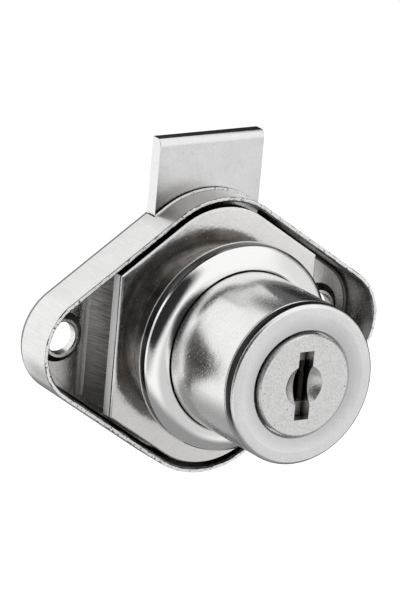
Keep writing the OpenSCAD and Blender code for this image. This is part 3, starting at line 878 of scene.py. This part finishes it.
def boltFinish(face):
    if abs(face.normal.x) > drawing["sideways"]:
        return "boltSawn"
    return "boltTop" if face.normal.z > boltValues["topFace"] else "boltSteel"


def boltTongue():
    s = boltValues
    section = [(s["bottom"], s["back"]), (s["bottom"], s["front"])]
    for k in range(s["rollSteps"] + 1):  # the front rolls over softly into the bevel
        t = k / s["rollSteps"]
        section.append((s["top"] - s["bevel"] - s["roll"] * (1 - t), s["front"] - s["roll"] * s["rollDrop"] * t * t))
    section += [(s["top"], s["front"] - s["bevel"]), (s["top"], s["back"])]
    tongue = slab("boltTongue", *([rowPoint(x, up, fwd) for up, fwd in section] for x in (-s["half"], s["half"])))
    yoke = block("yoke", -s["yokeHalf"], s["yokeHalf"], s["yokeUp"] - s["yokeHigh"], s["yokeUp"] + s["yokeHigh"],
                 s["cutBack"], s["cutFront"])
    combine(tongue, [yoke], "DIFFERENCE")
    softenEdges(tongue, s["edge"], s["edgeSteps"])
    shadeByAngle(tongue.data, s["shadeAngle"])
    paint(tongue, s["finishes"], boltFinish)
    return tongue


boltPiece = boltTongue()
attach(boltPiece, "bolt")
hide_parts("bolt")
print("bolt made")


# finishes of the pieces that keep their own shape
keptValues = {
    "wafers": 6, "nodes": {"plug": "plugNickel", "drive_pin": "pinSteel", "retaining_clip": "clipSteel"},
    "finishes": {
        "plugNickel": {
            "dark": (0.74, 0.73, 0.725), "light": (0.97, 0.965, 0.96), "speck": (0.42, 0.41, 0.40),
            "rough": (0.26, 0.40), "stretch": (1200, 1200, 1200), "lineContrast": 1.2, "cloud": 0.4, "line": 0.2,
            "grain": 2.2, "grainScale": 4000, "cloudScale": 900, "speckLevel": 0.64, "bump": 0.8, "bumpDepth": 0.016,
            # painted shade: the keyway's walls go nearly black deeper into the plug
            "wave": 0.015, "paintedShade": {"along": (0, 1, 0), "from": -23.3, "to": -21.9, "tone": (0.045, 0.04, 0.036)}},
        "waferBrass": {
            "metal": 0.8, "dark": (0.40, 0.37, 0.335), "light": (0.70, 0.655, 0.60), "speck": (0.30, 0.27, 0.24),
            "rough": (0.30, 0.44), "stretch": (3000, 400, 3000), "cloud": 0.6, "grain": 0.5, "grainScale": 4600,
            "cloudScale": 900, "speckLevel": 0.64, "bump": 0.5, "bumpDepth": 0.012},
        # painted shade: a nearly black copy of the brass for the wafers behind the first
        "waferDulled": {"like": "waferBrass", "metal": 1.0, "dark": (0.05, 0.045, 0.04), "light": (0.12, 0.11, 0.10)},
        "pinSteel": {
            "dark": (0.34, 0.33, 0.32), "light": (0.52, 0.51, 0.50), "speck": (0.22, 0.21, 0.20),
            "rough": (0.26, 0.40), "stretch": (600, 3600, 600), "cloud": 0.5, "cloudScale": 700, "bump": 0.4},
        "clipSteel": {
            "dark": (0.20, 0.205, 0.22), "light": (0.36, 0.365, 0.38), "speck": (0.14, 0.14, 0.15),
            "rough": (0.24, 0.38), "stretch": (2400, 2400, 2400), "lineContrast": 1.4, "cloud": 0.6, "line": 0.3,
            "cloudScale": 700, "bump": 0.4},
        "springWire": {
            "like": "clipSteel", "dark": (0.52, 0.50, 0.46), "light": (0.70, 0.68, 0.62),
            "speck": (0.36, 0.34, 0.30), "rough": (0.20, 0.32), "grainScale": 8000, "cloudScale": 1200,
            "speckLevel": 0.68, "bump": 0.3, "bumpDepth": 0.006}}}


def paintKept():
    s = keptValues
    made = {name: finishOf(s["finishes"], name) for name in s["finishes"]}
    nodes = dict(s["nodes"])
    for count in range(1, s["wafers"] + 1):
        nodes[f"wafer_{count}"] = "waferBrass" if count == 1 else "waferDulled"
        nodes[f"wafer_spring_{count}"] = "springWire"
    for node, name in nodes.items():
        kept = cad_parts[node]
        kept.data.materials.clear()
        kept.data.materials.append(made[name])


paintKept()
print("kept pieces painted")


# studio: pale floor well below the held lock, and a white room with a few soft dark flags for the metal to mirror.
# A flag is its direction, its half width in degrees and how much light it takes away. A softbox is its name, its
# place, its size in metres and its watts.
studio = {"floorDown": -0.075, "floorSize": 3.0, "floorTone": 0.85, "floorGlow": 0.45, "ambient": 0.75,
          "flagSoft": 8.0, "flagFloor": 0.02,
          "flags": [(-0.33, 0.13, 0.93, 31, 1.00), (0.71, 0.48, 0.51, 43, 0.88),
                    (-0.45, -0.84, 0.31, 28, 1.00), (-0.98, 0.15, 0.13, 13, 0.40),
                    (-0.76, -0.65, -0.04, 27, 0.50), (0.97, -0.14, -0.21, 41, 0.23),
                    (0.75, 0.58, -0.33, 38, 0.75), (0.24, -0.87, -0.43, 22, 0.36),
                    (-0.12, 0.08, -0.99, 50, 0.70)],
          "softboxes": [("keySoftbox", (0.28, -0.42, 0.42), 0.30, 1.1),
                        ("sideSoftbox", (-0.45, 0.10, 0.30), 0.34, 0.9)],
          "softboxAim": (0, -0.008, 0.003)}


# the floor isn't there for mirror rays
def paleFloor():
    s = studio
    bm = bmesh.new()
    half = s["floorSize"] / 2
    bm.faces.new([bm.verts.new((x, y, s["floorDown"])) for x, y in
                  ((-half, -half), (half, -half), (half, half), (-half, half))])
    floor = meshObject("paleFloor", bm)
    mat = bpy.data.materials.new("floorPaper")
    mat.use_nodes = True
    tree = mat.node_tree
    tree.nodes.clear()
    out = addNode(tree, "ShaderNodeOutputMaterial")
    matt = addNode(tree, "ShaderNodeBsdfDiffuse", values={"Color": (*[s["floorTone"]] * 3, 1)})
    glow = addNode(tree, "ShaderNodeEmission", values={"Strength": s["floorGlow"]})
    path = addNode(tree, "ShaderNodeLightPath")
    clear = addNode(tree, "ShaderNodeBsdfTransparent")
    both = addNode(tree, "ShaderNodeAddShader")
    seen = addNode(tree, "ShaderNodeMixShader")
    join(tree, (matt.outputs[0], both.inputs[0]), (glow.outputs[0], both.inputs[1]),
         (path.outputs["Is Glossy Ray"], seen.inputs["Fac"]), (both.outputs[0], seen.inputs[1]),
         (clear.outputs[0], seen.inputs[2]), (seen.outputs[0], out.inputs["Surface"]))
    floor.data.materials.append(mat)


# mirror rays see the room with its flags, camera rays plain white, and the rest an even light
def studioWorld():
    s = studio
    world = bpy.data.worlds.new("studio")
    bpy.context.scene.world = world
    world.use_nodes = True
    tree = world.node_tree
    tree.nodes.clear()
    out = addNode(tree, "ShaderNodeOutputWorld")
    ambient = addNode(tree, "ShaderNodeBackground", values={"Strength": s["ambient"]})
    white = addNode(tree, "ShaderNodeBackground", values={"Color": (1, 1, 1, 1)})
    room = addNode(tree, "ShaderNodeBackground")
    path = addNode(tree, "ShaderNodeLightPath")
    place = addNode(tree, "ShaderNodeTexCoord").outputs["Generated"]
    level = None
    for x, y, z, wide, amount in s["flags"]:
        dot = addNode(tree, "ShaderNodeVectorMath", "DOT_PRODUCT", {1: Vector((x, y, z)).normalized()})
        angle = addNode(tree, "ShaderNodeMath", "ARCCOSINE")
        flag = addNode(tree, "ShaderNodeMapRange", values={
            "From Min": math.radians(wide + s["flagSoft"]), "From Max": math.radians(wide - s["flagSoft"]),
            "To Max": amount})
        flag.interpolation_type = "SMOOTHSTEP"
        rest = addNode(tree, "ShaderNodeMath", "SUBTRACT", {0: 1.0})
        join(tree, (place, dot.inputs[0]), (dot.outputs["Value"], angle.inputs[0]),
             (angle.outputs[0], flag.inputs["Value"]), (flag.outputs[0], rest.inputs[1]))
        if level is not None:
            join(tree, (level, rest.inputs[0]))
        level = rest.outputs[0]
    least = addNode(tree, "ShaderNodeMath", "MAXIMUM", {1: s["flagFloor"]})
    direct = addNode(tree, "ShaderNodeMath", "MAXIMUM")
    mirrored = addNode(tree, "ShaderNodeMixShader")
    shown = addNode(tree, "ShaderNodeMixShader")
    join(tree, (level, least.inputs[0]), (least.outputs[0], room.inputs["Color"]),
         (path.outputs["Is Camera Ray"], direct.inputs[0]), (path.outputs["Is Transmission Ray"], direct.inputs[1]),
         (path.outputs["Is Glossy Ray"], mirrored.inputs["Fac"]), (ambient.outputs[0], mirrored.inputs[1]),
         (room.outputs[0], mirrored.inputs[2]), (direct.outputs[0], shown.inputs["Fac"]),
         (mirrored.outputs[0], shown.inputs[1]), (white.outputs[0], shown.inputs[2]),
         (shown.outputs[0], out.inputs["Surface"]))


def softBox(name, at, size, watts):
    lamp = bpy.data.lights.new(name, "AREA")
    lamp.shape = "DISK"
    lamp.size = size
    lamp.energy = watts
    box = bpy.data.objects.new(name, lamp)
    box.visible_glossy = False  # the metal mirrors the white room alone
    bpy.context.scene.collection.objects.link(box)
    aim = (Vector(studio["softboxAim"]) - Vector(at)).to_track_quat("-Z", "Y")
    box.matrix_world = Matrix.Translation(at) @ aim.to_matrix().to_4x4()


paleFloor()
studioWorld()
for values in studio["softboxes"]:
    softBox(*values)
print("studio set")


# camera fitted to points picked in the picture: mm, degrees, and a focal length in pixels of the long side.
# The near and far limits are in metres.
cameraFit = {"target": (-2.258, -5.8, 4.308), "yaw": 34.252, "pitch": 17.334, "roll": 5.079,
             "distance": 636.156, "focalPixels": 5922.0, "longSide": 600.0, "sensor": 36.0, "near": 0.01, "far": 20}


def placeCamera():
    s = cameraFit
    yaw, pitch, roll = (math.radians(s[k]) for k in ("yaw", "pitch", "roll"))
    back = Vector((-math.sin(yaw) * math.cos(pitch), -math.cos(yaw) * math.cos(pitch), math.sin(pitch)))
    right = Vector((math.cos(yaw), -math.sin(yaw), 0))
    up = back.cross(right)
    camX = right * math.cos(roll) + up * math.sin(roll)
    camY = up * math.cos(roll) - right * math.sin(roll)
    lens = bpy.data.cameras.new("photoCamera")
    lens.sensor_width = s["sensor"]
    lens.lens = s["focalPixels"] / s["longSide"] * s["sensor"]
    lens.clip_start = s["near"]
    lens.clip_end = s["far"]
    eye = bpy.data.objects.new("photoCamera", lens)
    bpy.context.scene.collection.objects.link(eye)
    turn = Matrix((camX, camY, back)).transposed().to_4x4()
    at = (Vector(s["target"]) + back * s["distance"]) * mm
    eye.matrix_world = Matrix.Translation(at) @ turn
    bpy.context.scene.camera = eye


placeCamera()
bpy.context.scene.view_settings.view_transform = "Standard"
print("camera set")
